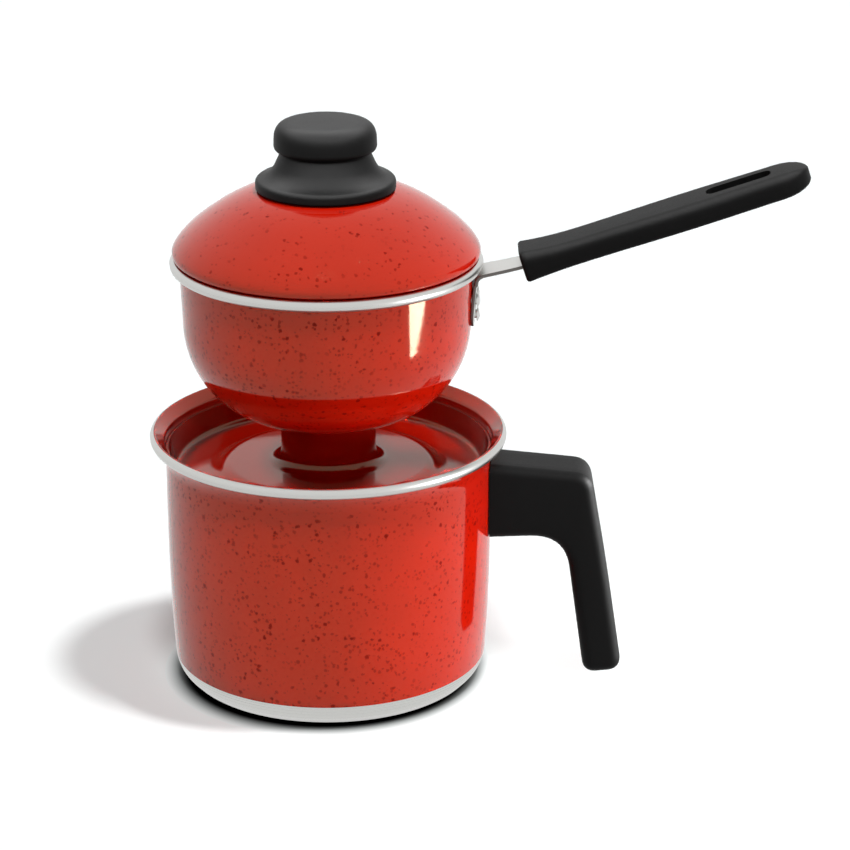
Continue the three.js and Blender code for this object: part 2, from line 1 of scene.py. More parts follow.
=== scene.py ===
# %% [markdown]
# # A red couscous steamer
#
# The real object is a small stovetop steamer: a boiler mug, a steam plate with a neck, a bowl, a sieve and a lid.
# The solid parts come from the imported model, which says where everything is and what moves.
# This lesson dresses them: each visible part is drawn again as a smooth mesh and gets its real finish.

# %% Load the solid parts
import math

import bmesh
import bpy
from mathutils import Matrix, Vector
from mathutils.geometry import interpolate_bezier


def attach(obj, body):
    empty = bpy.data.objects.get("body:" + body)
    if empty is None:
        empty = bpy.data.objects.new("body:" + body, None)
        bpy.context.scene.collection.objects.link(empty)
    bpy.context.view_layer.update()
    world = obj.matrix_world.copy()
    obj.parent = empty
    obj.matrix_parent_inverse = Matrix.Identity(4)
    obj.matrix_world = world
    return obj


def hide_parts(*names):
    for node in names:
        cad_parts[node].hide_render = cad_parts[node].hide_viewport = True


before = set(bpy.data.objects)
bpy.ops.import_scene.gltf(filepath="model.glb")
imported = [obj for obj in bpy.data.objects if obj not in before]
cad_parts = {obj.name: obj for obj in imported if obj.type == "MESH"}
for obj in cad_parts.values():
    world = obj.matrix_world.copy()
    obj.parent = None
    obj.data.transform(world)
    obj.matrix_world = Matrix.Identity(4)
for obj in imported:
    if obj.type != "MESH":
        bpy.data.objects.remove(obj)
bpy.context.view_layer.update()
MM = 0.001

# %% [markdown]
# ## Camera
#
# The photograph looks down at the pot by about twenty degrees, from a little over a metre away, with a long lens.
# The lens is given for a square picture, so that a millimetre at the rim covers about two and a third pixels.

# %% Camera
PICTURE = 850
FOCAL_PIXELS = 3148
CAMERA_PLACE, CAMERA_DIP = (40.8, -1249.0, 565.8), 20.05
camera = bpy.data.cameras.new("product_camera")
camera.sensor_width = 36
camera.lens = camera.sensor_width * FOCAL_PIXELS / PICTURE
camera_stand = bpy.data.objects.new("product_camera", camera)
camera_stand.location = Vector(CAMERA_PLACE) * MM
camera_stand.rotation_euler = (math.radians(90 - CAMERA_DIP), 0, 0)
bpy.context.scene.collection.objects.link(camera_stand)
bpy.context.scene.camera = camera_stand
print("lens", round(camera.lens, 1), "mm")

# %% [markdown]
# ## Finishes
#
# Every finish is a node material. Colours are written as sRGB hex values, as a paint chart gives them,
# and one function turns them into the linear values that the shader works with.
# Another small function adds a node, sets it up and links it, which keeps each finish to a few lines.

# %% Helpers for finishes
def paint(hex_colour):
    """The linear colour of an sRGB hex value."""
    parts = [int(hex_colour[i:i + 2], 16) / 255 for i in (1, 3, 5)]
    return (*[c / 12.92 if c <= 0.04045 else ((c + 0.055) / 1.055) ** 2.4 for c in parts], 1.0)


def node(tree, kind, inputs, **settings):
    """Adds a node with its settings, and fills or links its inputs."""
    made = tree.nodes.new(kind)
    for name, value in settings.items():
        setattr(made, name, value)
    for name, value in inputs.items():
        if isinstance(value, bpy.types.NodeSocket):
            tree.links.new(value, made.inputs[name])
        else:
            made.inputs[name].default_value = value
    return made


def finish(name):
    """A new material with only its output, and its node tree."""
    material = bpy.data.materials.new(name)
    material.use_nodes = True
    material.node_tree.nodes.clear()
    return material, material.node_tree


def per_size(millimetres):
    """The scale of a texture whose pattern repeats at this real size."""
    return 1 / (millimetres * MM)


print("one pattern per 2 mm is a scale of", per_size(2))

# %% [markdown]
# ### Red coat
#
# The sheet is aluminium with a baked silicone polyester coat: a strong glossy red that mirrors the room.
# The mirrored room looks a little warm in it, so the gloss has a warm tint.
# Baked coats have a faint orange peel, a ripple a few millimetres long, which makes mirrored edges waver.
# Outside, the maker spatters fine dark specks over the red before it is baked. They stay dull, so they show as dark
# dots in the mirrored light too. Voronoi cells place the specks, a random value of each cell decides whether it has
# one and how large it is, a noise makes their edges ragged, and a slow noise gathers them in groups.
# Inside, the coat has no specks, and its deeper red is painted shade for the hollows inside the pot and under the bowl.

# %% Red coat
RED = paint("#d41c06")
RED_DEEP = paint("#c71705")
SPECK = paint("#960f05")
WARM_GLOSS = (1.0, 0.87, 0.55, 1.0)
COAT_GLOSS, SPECK_GLOSS = 0.5, 0.1


def specks(tree, where, cell, share, reach, depth):
    """A mask of specks: one to each chosen cell, up to this reach in cell sizes, and this dark."""
    cells = node(tree, "ShaderNodeTexVoronoi", {"Vector": where, "Scale": per_size(cell)})
    chance = node(tree, "ShaderNodeSeparateColor", {"Color": cells.outputs["Color"]})
    size = node(tree, "ShaderNodeMapRange", {"Value": chance.outputs["Red"], "From Min": 1 - share, "From Max": 1.0,
                                             "To Min": 0.0, "To Max": reach})
    inside = node(tree, "ShaderNodeMath", {0: size.outputs[0], 1: cells.outputs["Distance"]}, operation="SUBTRACT")
    return node(tree, "ShaderNodeMapRange", {"Value": inside.outputs[0], "From Min": 0.0, "From Max": 0.08,
                                             "To Max": depth}).outputs[0]


def red_coat(name, speckled, light=RED, deep=RED_DEEP):
    """The red finish. The share of cells with a speck sets how dense the spatter is."""
    material, tree = finish(name)
    spot = node(tree, "ShaderNodeTexCoord", {}).outputs["Object"]
    clouds = node(tree, "ShaderNodeTexNoise", {"Vector": spot, "Scale": per_size(28), "Detail": 2.0})
    colour = node(tree, "ShaderNodeMix", {"Factor": clouds.outputs[0], "A": light, "B": deep}, data_type="RGBA")
    base, gloss = colour.outputs["Result"], COAT_GLOSS
    if speckled:
        wobble = node(tree, "ShaderNodeTexNoise", {"Vector": spot, "Scale": per_size(1.2), "Detail": 1.0})
        shift = node(tree, "ShaderNodeVectorMath", {0: wobble.outputs["Color"], 1: (0.5, 0.5, 0.5)},
                     operation="SUBTRACT")
        small = node(tree, "ShaderNodeVectorMath", {0: shift.outputs[0], "Scale": 1.3 * MM}, operation="SCALE")
        ragged = node(tree, "ShaderNodeVectorMath", {0: spot, 1: small.outputs[0]}, operation="ADD")
        fine = specks(tree, ragged.outputs[0], cell=1.7, share=speckled, reach=0.52, depth=0.7)
        coarse = specks(tree, ragged.outputs[0], cell=2.8, share=0.8 * speckled, reach=0.36, depth=1.0)
        groups = node(tree, "ShaderNodeTexNoise", {"Vector": spot, "Scale": per_size(11), "Detail": 1.0})
        gathered = node(tree, "ShaderNodeMapRange", {"Value": groups.outputs[0], "From Min": 0.34, "From Max": 0.54,
                                                     "To Min": 0.25})
        both = node(tree, "ShaderNodeMath", {0: fine, 1: coarse}, operation="MAXIMUM")
        spatter = node(tree, "ShaderNodeMath", {0: both.outputs[0], 1: gathered.outputs[0]}, operation="MULTIPLY")
        mixed = node(tree, "ShaderNodeMix", {"Factor": spatter.outputs[0], "A": base, "B": SPECK}, data_type="RGBA")
        dull = node(tree, "ShaderNodeMapRange", {"Value": spatter.outputs[0], "To Min": COAT_GLOSS,
                                                 "To Max": SPECK_GLOSS})
        base, gloss = mixed.outputs["Result"], dull.outputs[0]
    peel = node(tree, "ShaderNodeTexNoise", {"Vector": spot, "Scale": per_size(5), "Detail": 1.0})
    ripple = node(tree, "ShaderNodeBump", {"Height": peel.outputs[0], "Strength": 0.12, "Distance": 0.15 * MM})
    shader = node(tree, "ShaderNodeBsdfPrincipled", {
        "Base Color": base, "Roughness": 0.08, "IOR": 1.5, "Specular IOR Level": gloss, "Specular Tint": WARM_GLOSS,
        "Normal": ripple.outputs["Normal"]})
    node(tree, "ShaderNodeOutputMaterial", {"Surface": shader.outputs[0]})
    return material


speckled_red = red_coat("red_coat_speckled", 0.85)
lid_red = red_coat("red_coat_lightly_speckled", 0.35)
# The inside coat has no specks, and its darker red is painted shade for the hollows inside.
inside_red_painted_shade = red_coat("red_coat_plain_painted_shade", 0, paint("#ac1304"), paint("#a01104"))
print(speckled_red.name, lid_red.name, inside_red_painted_shade.name)

# %% [markdown]
# ### Bare aluminium
#
# The rolled rims and the bevel round the foot have no coat. A tool has turned them bright while the sheet was spinning,
# so very fine lines run round them. The lines follow the distance from the axis and the height,
# which the shader works out from the object's own coordinates. They are drawn at 0.3 mm, coarser than the real ones,
# because finer lines would vanish in the picture.

# %% Bare aluminium
def bright_aluminium():
    """Bare aluminium with the fine lines of a turning tool."""
    material, tree = finish("aluminium_turned_bright")
    spot = node(tree, "ShaderNodeTexCoord", {}).outputs["Object"]
    flat = node(tree, "ShaderNodeVectorMath", {0: spot, 1: (1, 1, 0)}, operation="MULTIPLY")
    radius = node(tree, "ShaderNodeVectorMath", {0: flat.outputs[0]}, operation="LENGTH")
    height = node(tree, "ShaderNodeSeparateXYZ", {"Vector": spot})
    across = node(tree, "ShaderNodeCombineXYZ", {"X": radius.outputs["Value"], "Y": height.outputs["Z"]})
    lines = node(tree, "ShaderNodeTexNoise", {"Vector": across.outputs[0], "Scale": per_size(0.3), "Detail": 2.0})
    rough = node(tree, "ShaderNodeMapRange", {"Value": lines.outputs[0], "To Min": 0.22, "To Max": 0.36})
    bump = node(tree, "ShaderNodeBump", {"Height": lines.outputs[0], "Strength": 0.15, "Distance": 0.05 * MM})
    shader = node(tree, "ShaderNodeBsdfPrincipled", {
        "Base Color": paint("#cacac7"), "Metallic": 1.0, "Roughness": rough.outputs[0],
        "Normal": bump.outputs["Normal"]})
    node(tree, "ShaderNodeOutputMaterial", {"Surface": shader.outputs[0]})
    return material


turned_aluminium = bright_aluminium()
print(turned_aluminium.name)

# %% [markdown]
# ### Satin aluminium
#
# The strap, the rivets and the sieve are cut from rolled aluminium sheet and tumbled, which leaves a soft grey satin
# with a fine grain and no direction. The strap's sheared edges are rougher, and their dark grey is painted shade for
# the narrow gap and the dark reflection along them.
# The zinc-plated screws and the brass insert are drawn the same way in their own colours.

# %% Satin metals
def satin_metal(name, colour, roughness):
    """A tumbled metal of this colour: its grain makes the roughness vary a little."""
    material, tree = finish(name)
    spot = node(tree, "ShaderNodeTexCoord", {}).outputs["Object"]
    grain = node(tree, "ShaderNodeTexNoise", {"Vector": spot, "Scale": per_size(0.6), "Detail": 3.0})
    rough = node(tree, "ShaderNodeMapRange", {"Value": grain.outputs[0], "To Min": roughness - 0.08,
                                              "To Max": roughness + 0.1})
    bump = node(tree, "ShaderNodeBump", {"Height": grain.outputs[0], "Strength": 0.2, "Distance": 0.05 * MM})
    shader = node(tree, "ShaderNodeBsdfPrincipled", {
        "Base Color": paint(colour), "Metallic": 1.0, "Roughness": rough.outputs[0], "Normal": bump.outputs["Normal"]})
    node(tree, "ShaderNodeOutputMaterial", {"Surface": shader.outputs[0]})
    return material


satin_aluminium = satin_metal("aluminium_tumbled_satin", "#d6d6d3", 0.38)
# The sheared edges are rougher, and their dark colour is painted shade for the gap and the dark reflection along them.
sheared_edge_painted_shade = satin_metal("aluminium_sheared_edge_painted_shade", "#6e6b68", 0.5)
zinc_steel = satin_metal("steel_zinc_plated", "#b9bcc0", 0.3)
turned_brass = satin_metal("brass_turned", "#c39b4a", 0.28)
print(satin_aluminium.name, sheared_edge_painted_shade.name, zinc_steel.name, turned_brass.name)

# %% [markdown]
# ### Black phenolic
#
# The grips and the knob are moulded in black phenolic resin. The mould is spark-eroded, so the skin has a fine matt
# grain, and it shrinks a little as it cures, so broad faces are not perfectly even.

# %% Black phenolic
def moulded_phenolic():
    """Black resin with a matt grain on broad faces that have sunk a little."""
    material, tree = finish("phenolic_black_moulded")
    spot = node(tree, "ShaderNodeTexCoord", {}).outputs["Object"]
    grain = node(tree, "ShaderNodeTexNoise", {"Vector": spot, "Scale": per_size(0.7), "Detail": 3.0})
    sink = node(tree, "ShaderNodeTexNoise", {"Vector": spot, "Scale": per_size(14), "Detail": 1.0})
    waves = node(tree, "ShaderNodeBump", {"Height": sink.outputs[0], "Strength": 0.35, "Distance": 0.6 * MM})
    skin = node(tree, "ShaderNodeBump", {"Height": grain.outputs[0], "Strength": 0.35, "Distance": 0.1 * MM,
                                         "Normal": waves.outputs["Normal"]})
    rough = node(tree, "ShaderNodeMapRange", {"Value": grain.outputs[0], "To Min": 0.4, "To Max": 0.56})
    shader = node(tree, "ShaderNodeBsdfPrincipled", {
        "Base Color": paint("#090909"), "Roughness": rough.outputs[0], "IOR": 1.55,
        "Specular IOR Level": 0.07, "Normal": skin.outputs["Normal"]})
    node(tree, "ShaderNodeOutputMaterial", {"Surface": shader.outputs[0]})
    return material


phenolic = moulded_phenolic()
print(phenolic.name)

# %% [markdown]
# ## Spun sheet metal
#
# A pot like this is spun: a disc of aluminium is pressed over a turning form. So each sheet is drawn as half of its
# section and turned once round the axis with the Spin operator. Drawing the section in runs, one for each finish,
# gives every run its own material with a clean edge between them.

# %% Helpers for turned pieces
AROUND = 160
MERGED_WITHIN, DISSOLVED_UNDER = 0.002, 0.001


def curve(start, pull, end, steps=14):
    """Points from start to end on a curve that one point pulls on, as radius and height."""
    first, middle, last = (Vector((r, 0, z)) for r, z in (start, pull, end))
    points = interpolate_bezier(first, first.lerp(middle, 2 / 3), last.lerp(middle, 2 / 3), last, steps)
    return [(p.x, p.z) for p in points]


def roll(centre, radius, start, end, steps=24):
    """Points round a rolled edge, between two angles in degrees."""
    turns = [math.radians(start + (end - start) * i / steps) for i in range(steps + 1)]
    return [(centre[0] + radius * math.cos(t), centre[1] + radius * math.sin(t)) for t in turns]


def rounded(corners, steps=8):
    """Points of a line through corners of x, y and the length that its rounding takes from each side."""
    points = []
    for i, (x, y, reach) in enumerate(corners):
        here = Vector((x, y))
        if reach == 0:
            points.append((x, y))
            continue
        before = (Vector(corners[i - 1][:2]) - here).normalized() * reach
        after = (Vector(corners[(i + 1) % len(corners)][:2]) - here).normalized() * reach
        points += curve(here + before, here, here + after, steps)
    return points


def beside(line, distance):
    """A line moved sideways, to the left of its direction."""
    moved = []
    for i, here in enumerate(line):
        before = Vector(line[max(i - 1, 0)])
        after = Vector(line[min(i + 1, len(line) - 1)])
        along = (after - before).normalized()
        moved.append((here[0] - along.y * distance, here[1] + along.x * distance))
    return moved


def turn(bm, points, material=0, steps=AROUND):
    """Turns a run of a section once round the vertical axis."""
    verts = [bm.verts.new((r * MM, 0, z * MM)) for r, z in points]
    edges = [bm.edges.new(pair) for pair in zip(verts, verts[1:])]
    before = set(bm.faces)
    bmesh.ops.spin(bm, geom=verts + edges, cent=(0, 0, 0), axis=(0, 0, 1), angle=2 * math.pi, steps=steps,
                   use_merge=True)
    for face in set(bm.faces) - before:
        face.material_index = material


def place(name, bm, body, materials, stands_for, sharp=40):
    """Closes the mesh, makes it an object and hands it to its moving body."""
    bmesh.ops.remove_doubles(bm, verts=bm.verts, dist=MERGED_WITHIN * MM)
    bmesh.ops.dissolve_degenerate(bm, edges=bm.edges, dist=DISSOLVED_UNDER * MM)
    bmesh.ops.recalc_face_normals(bm, faces=bm.faces)
    mesh = bpy.data.meshes.new(name)
    bm.to_mesh(mesh)
    bm.free()
    for material in materials:
        mesh.materials.append(material)
    mesh.shade_smooth()
    mesh.set_sharp_from_angle(angle=math.radians(sharp))
    made = bpy.data.objects.new(name, mesh)
    bpy.context.scene.collection.objects.link(made)
    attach(made, body)
    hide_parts(*stands_for)
    print(name, len(mesh.polygons), "faces")
    return made


print(AROUND, "steps round the axis")

# %% [markdown]
# ### Boiler mug
#
# The mug has a flat foot, a bare bevel, a wall that is a little fuller at mid height, a flared mouth and a rolled rim.
# The bead of the rim is bare on the outside, and the red of the inside runs up to its crest.

# %% Boiler mug
WALL = 1.2
FOOT_EDGE, BEVEL_LOW, BEVEL_TOP, FLARE_START = (58.8, 0), (62.5, 2.1), (66.6, 9.75), (68.7, 96)
RIM_CENTRE, RIM_ROLL, RIM_FROM, RIM_TO = (72.9, 107.0), 2.35, -110, 70
UNDER_LIP = 5  # points of the flare that the lip hides inside
foot = [(0, 0), FOOT_EDGE] + curve(FOOT_EDGE, (61.4, 0.1), BEVEL_LOW, 7)
foot += curve(BEVEL_LOW, (66, 4.6), BEVEL_TOP)[1:]
mug_wall = curve(BEVEL_TOP, (69, 40), FLARE_START, 24)
mug_bead = roll(RIM_CENTRE, RIM_ROLL, RIM_FROM, RIM_TO)
mug_flare = curve(FLARE_START, (68.7, 100.2), mug_bead[0])
mug_inside = beside(foot[1:] + mug_wall[1:] + mug_flare[1:], WALL)[:-UNDER_LIP][::-1]
mug_crest = rounded([(*mug_bead[-1], 0), (73.1, 109.4, 0.4), (69.0, 105.3, 1.0), (*mug_inside[0], 0)], 8)
bm = bmesh.new()
turn(bm, foot, 2)
turn(bm, mug_wall + mug_flare[1:], 0)
turn(bm, mug_bead, 2)
turn(bm, mug_crest + mug_inside[1:] + [(0, WALL)], 1)
boiler_mug = place("boiler_mug", bm, "boiler", [speckled_red, inside_red_painted_shade, turned_aluminium], ["boiler_pot"])

# %% [markdown]
# ### Steam plate and neck
#
# The plate hangs in the mug's mouth by its flange. Inside a short wall lies a shallow channel, then a flat middle,
# and the sheet is drawn up from there into a hollow neck. Its upper edge goes through the bowl's floor and is folded
# over it, which locks the two sheets together.

# %% Steam plate
PLATE = 1.0
plate_top = rounded([
    (67.55, 102.2, 0), (65.2, 91.7, 2.4), (48.5, 92.1, 2.4), (43.4, 95.1, 2.4), (20, 95.1, 6.3), (20, 115.9, 0.5),
    (17.6, 115.9, 0.4), (17.6, 117.7, 0.4), (21.4, 117.7, 0)], 12)
bm = bmesh.new()
turn(bm, plate_top + beside(plate_top, PLATE)[::-1] + plate_top[:1])
steam_sheet = place("steam_plate_sheet", bm, "steamer", [inside_red_painted_shade], ["steam_plate"])

# %% [markdown]
# ### Bowl
#
# The bowl sits on the shoulder of the neck. Its floor swings up in a quarter of an ellipse into a nearly straight wall,
# and its rim is rolled like the mug's.

# %% Bowl
BOWL_CENTRE, BOWL_ROLL, BOWL_FROM, BOWL_TO, BOWL_END = (62.6, 182.7), 2.4, -132, 72, 165
NECK_HOLE, FLOOR_RADIUS, FLOOR, BELLY_RADIUS, BELLY = 17.9, 22.0, 116.2, 60.1, 158.0
belly = roll((0, 0), 1, -90, 0, 32)
bowl_belly = [(FLOOR_RADIUS + x * (BELLY_RADIUS - FLOOR_RADIUS), BELLY + y * (BELLY - FLOOR)) for x, y in belly]
bowl_bead = roll(BOWL_CENTRE, BOWL_ROLL, BOWL_FROM, BOWL_TO)
bowl_outside = [(NECK_HOLE, FLOOR)] + bowl_belly + bowl_bead[:1]
bowl_inside = beside(bowl_outside, WALL)[::-1]
bm = bmesh.new()
turn(bm, bowl_outside, 0)
turn(bm, bowl_bead, 2)
turn(bm, roll(BOWL_CENTRE, BOWL_ROLL, BOWL_TO, BOWL_END, 11) + bowl_inside + bowl_outside[:1], 1)
bowl_sheet = place("bowl_sheet", bm, "steamer", [speckled_red, inside_red_painted_shade, turned_aluminium],
                   ["steamer_bowl"])

# %% [markdown]
# ### Lid
#
# The lid rests on the bowl's bead with a rounded edge, and a short skirt inside the mouth keeps it in place.

# %% Lid
LID = 1.0
LID_GAP, SKIRT, SKIRT_DEPTH = 0.3, 59.2, 5.9
LID_SEAT = BOWL_CENTRE[1] + BOWL_ROLL + LID_GAP
LID_EDGE, LID_SHOULDER, LID_CROWN = (63.9, 187.6), (56.5, 197.5), (27, 213.7)
SCREW_HOLE = 2.6
lid_top = (
    [(SKIRT, LID_SEAT - SKIRT_DEPTH), (SKIRT, LID_SEAT - 0.4), (SKIRT + 0.4, LID_SEAT)]
    + curve((61.5, LID_SEAT), (LID_EDGE[0], LID_SEAT), LID_EDGE, 10)
    + curve(LID_EDGE, (63.9, 190.6), LID_SHOULDER, 14)[1:]
    + curve(LID_SHOULDER, (40.6, 210.9), LID_CROWN, 24)[1:]
    + [(SCREW_HOLE, LID_CROWN[1])])
bm = bmesh.new()
turn(bm, lid_top, 0)
turn(bm, lid_top[-1:] + beside(lid_top, LID)[::-1] + lid_top[:1], 1)
lid_sheet = place("lid_sheet", bm, "lid", [lid_red, inside_red_painted_shade], ["lid_dome"])

# %% [markdown]
# ### Knob
#
# The knob is one moulding: a wide base that keeps fingers off the hot lid, a waist and a bun-shaped head.

# %% Knob
KNOB_SEAT, KNOB_AROUND = 214.0, 128
INSERT_HOLE, INSERT_DEPTH = 5.3, 14.3
knob_side = rounded([
    (INSERT_HOLE, INSERT_DEPTH, 0), (INSERT_HOLE, 0, 0), (29, 0, 0.7), (29, 4, 1.6), (22.6, 6.2, 4.5), (18.4, 15.4, 1),
    (21.3, 16.6, 1.8), (21, 28, 7), (0, 28.3, 0)], 12)
bm = bmesh.new()
turn(bm, [(0, INSERT_DEPTH)] + knob_side, 0, KNOB_AROUND)
bmesh.ops.translate(bm, verts=bm.verts, vec=(0, 0, KNOB_SEAT * MM))
knob = place("knob_moulding", bm, "lid", [phenolic], ["lid_knob"])

# %% [markdown]
# ## Small fasteners
#
# Rivets and screws are turned the same way and then carried to their places. A rivet has a head on both sides.

# %% Fasteners
FASTENER_AROUND = 32
RIVET_HEAD, RIVET_SHANK, RIVET_THICK = 3.2, 1.9, 1.1
SCREW_HEAD, SCREW_SHANK, SCREW_THICK = 4.2, 2.2, 2.4
OUTWARDS = Matrix.Rotation(math.radians(90), 4, "Y")


def fastener(name, section, matrix, body, material, stands_for):
    """Turns a section and carries it to its place."""
    bm = bmesh.new()
    turn(bm, section, 0, FASTENER_AROUND)
    bmesh.ops.transform(bm, matrix=matrix, verts=bm.verts)
    place(name, bm, body, [material], [stands_for])


def at(x, z):
    """A place in the plane of the handles, in millimetres."""
    return Matrix.Translation(Vector((x, 0, z)) * MM)


def rivet_section(length):
    """A rivet along the axis: a flat head at 0, and a domed one past its length."""
    flat_head = rounded([(0, -RIVET_THICK, 0), (RIVET_HEAD, -RIVET_THICK, 0.4), (RIVET_HEAD, 0, 0),
                         (RIVET_SHANK, 0, 0)], 3)
    dome = curve((RIVET_HEAD, length), (3.0, length + 1.1), (0, length + 1.2), 6)
    return flat_head + [(RIVET_SHANK, length)] + dome


def screw_section(length):
    """A pan-head screw with its tip at 0."""
    top = length + SCREW_THICK
    shank = [(0, 0), (1.7, 0), (SCREW_SHANK, 0.6), (SCREW_SHANK, length)]
    return shank + rounded([(SCREW_HEAD, length, 0.2), (SCREW_HEAD, top, 1.6), (0, top, 0)], 5)


MUG_RIVET, MUG_RIVET_START = rivet_section(4.0), 67.0
for name, height in (("lower", 70.2), ("upper", 86.8)):
    fastener("mug_rivet_" + name, MUG_RIVET, at(MUG_RIVET_START, height) @ OUTWARDS, "boiler",
             satin_aluminium, "boiler_handle_rivet_" + name)
BOWL_RIVET, SWING = rivet_section(3.9), math.radians(5.3)
for name, swing, inside, height in (
        ("left", SWING, 58.75, 167.2), ("right", -SWING, 58.75, 167.2), ("bottom", 0, 58.5, 159.4)):
    spot = Matrix.Rotation(swing, 4, "Z") @ at(inside, height) @ OUTWARDS
    fastener("bowl_rivet_" + name, BOWL_RIVET, spot, "steamer", satin_aluminium,
             "bowl_handle_rivet_" + name)
KNOB_SCREW_TIP, WASHER_LEVEL = 226.2, 211.4
fastener("knob_fixing_screw", screw_section(15.3), at(0, KNOB_SCREW_TIP) @ Matrix.Rotation(math.pi, 4, "X"), "lid",
         zinc_steel, "knob_screw")
WASHER = [(SCREW_HOLE, 0), (7.3, 0), (7.5, 0.2), (7.5, 0.8), (7.3, 1), (SCREW_HOLE, 1), (SCREW_HOLE, 0)]
fastener("knob_fixing_washer", WASHER, at(0, WASHER_LEVEL), "lid", satin_aluminium, "knob_washer")
GRIP_SCREW_TIP, GRIP_SCREW_HEIGHT = 80.5, 78.5
fastener("mug_grip_screw", screw_section(23.3), at(GRIP_SCREW_TIP, GRIP_SCREW_HEIGHT) @ OUTWARDS, "boiler",
         zinc_steel, "boiler_handle_screw")

# %% [markdown]
# ## Side grip
#
# The mug's grip is a moulded L: an arm from the wall and a tail that hangs down for the fingers. Its side view is drawn
# as corners with roundings, the face is extruded to its thickness, and the long edges get a broad bevel.
# The end at the wall keeps its edge and is bent to the wall's curve. The hole that sinks the long screw goes through
# rounded faces, so it is cut last, with a Boolean modifier.

# %% Side grip
def cut(bm, cutter):
    """The mesh without what the cutter covers, from a Boolean modifier that is applied at once."""
    meshes = []
    for part in (bm, cutter):
        bmesh.ops.recalc_face_normals(part, faces=part.faces)
        mesh = bpy.data.meshes.new("cutting")
        part.to_mesh(mesh)
        part.free()
        meshes.append(bpy.data.objects.new("cutting", mesh))
        bpy.context.scene.collection.objects.link(meshes[-1])
    body, tool = meshes
    step = body.modifiers.new("cut", "BOOLEAN")
    step.object, step.operation, step.solver = tool, "DIFFERENCE", "EXACT"
    done = bmesh.new()
    done.from_mesh(body.evaluated_get(bpy.context.evaluated_depsgraph_get()).to_mesh())
    for part in meshes:
        bpy.data.meshes.remove(part.data)
    return done


GRIP_HALF, GRIP_EDGE = 13.0, 6
MUG_CLEAR, WALL_END = 69.05, 68
BORE_RADIUS, BORE_LENGTH, BORE_CENTRE = 4.5, 30, 118.5
side_view = rounded([(67, 96.0, 0), (110.9, 91.7, 7), (118.9, 46, 12), (125.6, 1.6, 6.8), (109.1, 0.3, 5.4),
                     (100.2, 63.9, 15), (67, 62.9, 0)], 10)
bm = bmesh.new()
near_face = bm.faces.new([bm.verts.new((x * MM, -GRIP_HALF * MM, z * MM)) for x, z in side_view])
bmesh.ops.recalc_face_normals(bm, faces=bm.faces)
grown = bmesh.ops.extrude_face_region(bm, geom=[near_face])
far = [v for v in grown["geom"] if isinstance(v, bmesh.types.BMVert)]
bmesh.ops.translate(bm, verts=far, vec=(0, 2 * GRIP_HALF * MM, 0))
long_edges = [
    e for e in bm.edges
    if abs(e.verts[0].co.y - e.verts[1].co.y) < 1e-6 and max(v.co.x for v in e.verts) > WALL_END * MM]
bmesh.ops.bevel(bm, geom=long_edges, offset=GRIP_EDGE * MM, offset_type="OFFSET", segments=8, profile=0.5,
                affect="EDGES", material=-1, clamp_overlap=True)
for y in (-5, 0, 5):
    bmesh.ops.bisect_plane(bm, geom=bm.verts[:] + bm.edges[:] + bm.faces[:], plane_co=(0, y * MM, 0),
                           plane_no=(0, 1, 0))
for v in bm.verts:
    if v.co.x < WALL_END * MM:
        v.co.x = math.sqrt((MUG_CLEAR * MM) ** 2 - v.co.y ** 2)
bore = bmesh.new()
bmesh.ops.create_cone(bore, cap_ends=True, segments=40, radius1=BORE_RADIUS * MM, radius2=BORE_RADIUS * MM,
                      depth=BORE_LENGTH * MM, matrix=at(BORE_CENTRE, GRIP_SCREW_HEIGHT) @ OUTWARDS)
side_grip = place("side_grip", cut(bm, bore), "boiler", [phenolic], ["boiler_handle_grip"])

# %% [markdown]
# ## Long handle
#
# The bowl's handle has three parts: a strap that is riveted under the bead, a moulded grip and its screw.
# The strap is a strip of sheet. It starts as one edge across the foot and is extruded along the bends, and the
# foot is pressed to the round of the bowl before the sheet gets its thickness. Its sheared edges are dull, and their
# dark colour is painted shade.

# %% Strap
GRIP_START, GRIP_SLOPE = Vector((82.2, 0, 182.1)), math.radians(18.3)
STRAP_SHEET = 1.5


def on_grip(along, above=0):
    """A point of the grip's side view, in millimetres."""
    return (GRIP_START.x + along * math.cos(GRIP_SLOPE) - above * math.sin(GRIP_SLOPE),
            GRIP_START.z + along * math.sin(GRIP_SLOPE) + above * math.cos(GRIP_SLOPE))


STRAP_CENTRE, FOOT_LEAN, FOOT_BOTTOM, FOOT_HEIGHT = 61.3, 1.5, 155.2, 19.2
BEND_END, TANG, TANG_FROM = (65.8, 178.4), 28, 82
BAR_HALF, BAR_TAPER, BAR_LENGTH, TANG_HALF = 8.6, 1.2, 21, 7.4
foot_rows = [(FOOT_BOTTOM, 3.5), (155.8, 5.6), (157, 7.6), (159, 9.2), (162, 9.8), (167, 9.6), (173.5, 8.7)]
bar_rows = curve((STRAP_CENTRE + FOOT_LEAN / 2, 174.4), (STRAP_CENTRE + 0.6, 177.6), BEND_END, 8)
bar_rows += curve(BEND_END, (76, 180.5), on_grip(0), 6)[1:] + [on_grip(TANG)]
rows = [
    (STRAP_CENTRE - FOOT_LEAN / 2 + FOOT_LEAN * (z - FOOT_BOTTOM) / FOOT_HEIGHT, z, half, True)
    for z, half in foot_rows]
rows += [
    (x, z, BAR_HALF - BAR_TAPER * (x - STRAP_CENTRE) / BAR_LENGTH if x < TANG_FROM else TANG_HALF, False)
    for x, z in bar_rows]
bm = bmesh.new()
line = [bm.verts.new((0, y * MM, 0)) for y in range(9)]
edges = [bm.edges.new(pair) for pair in zip(line, line[1:])]
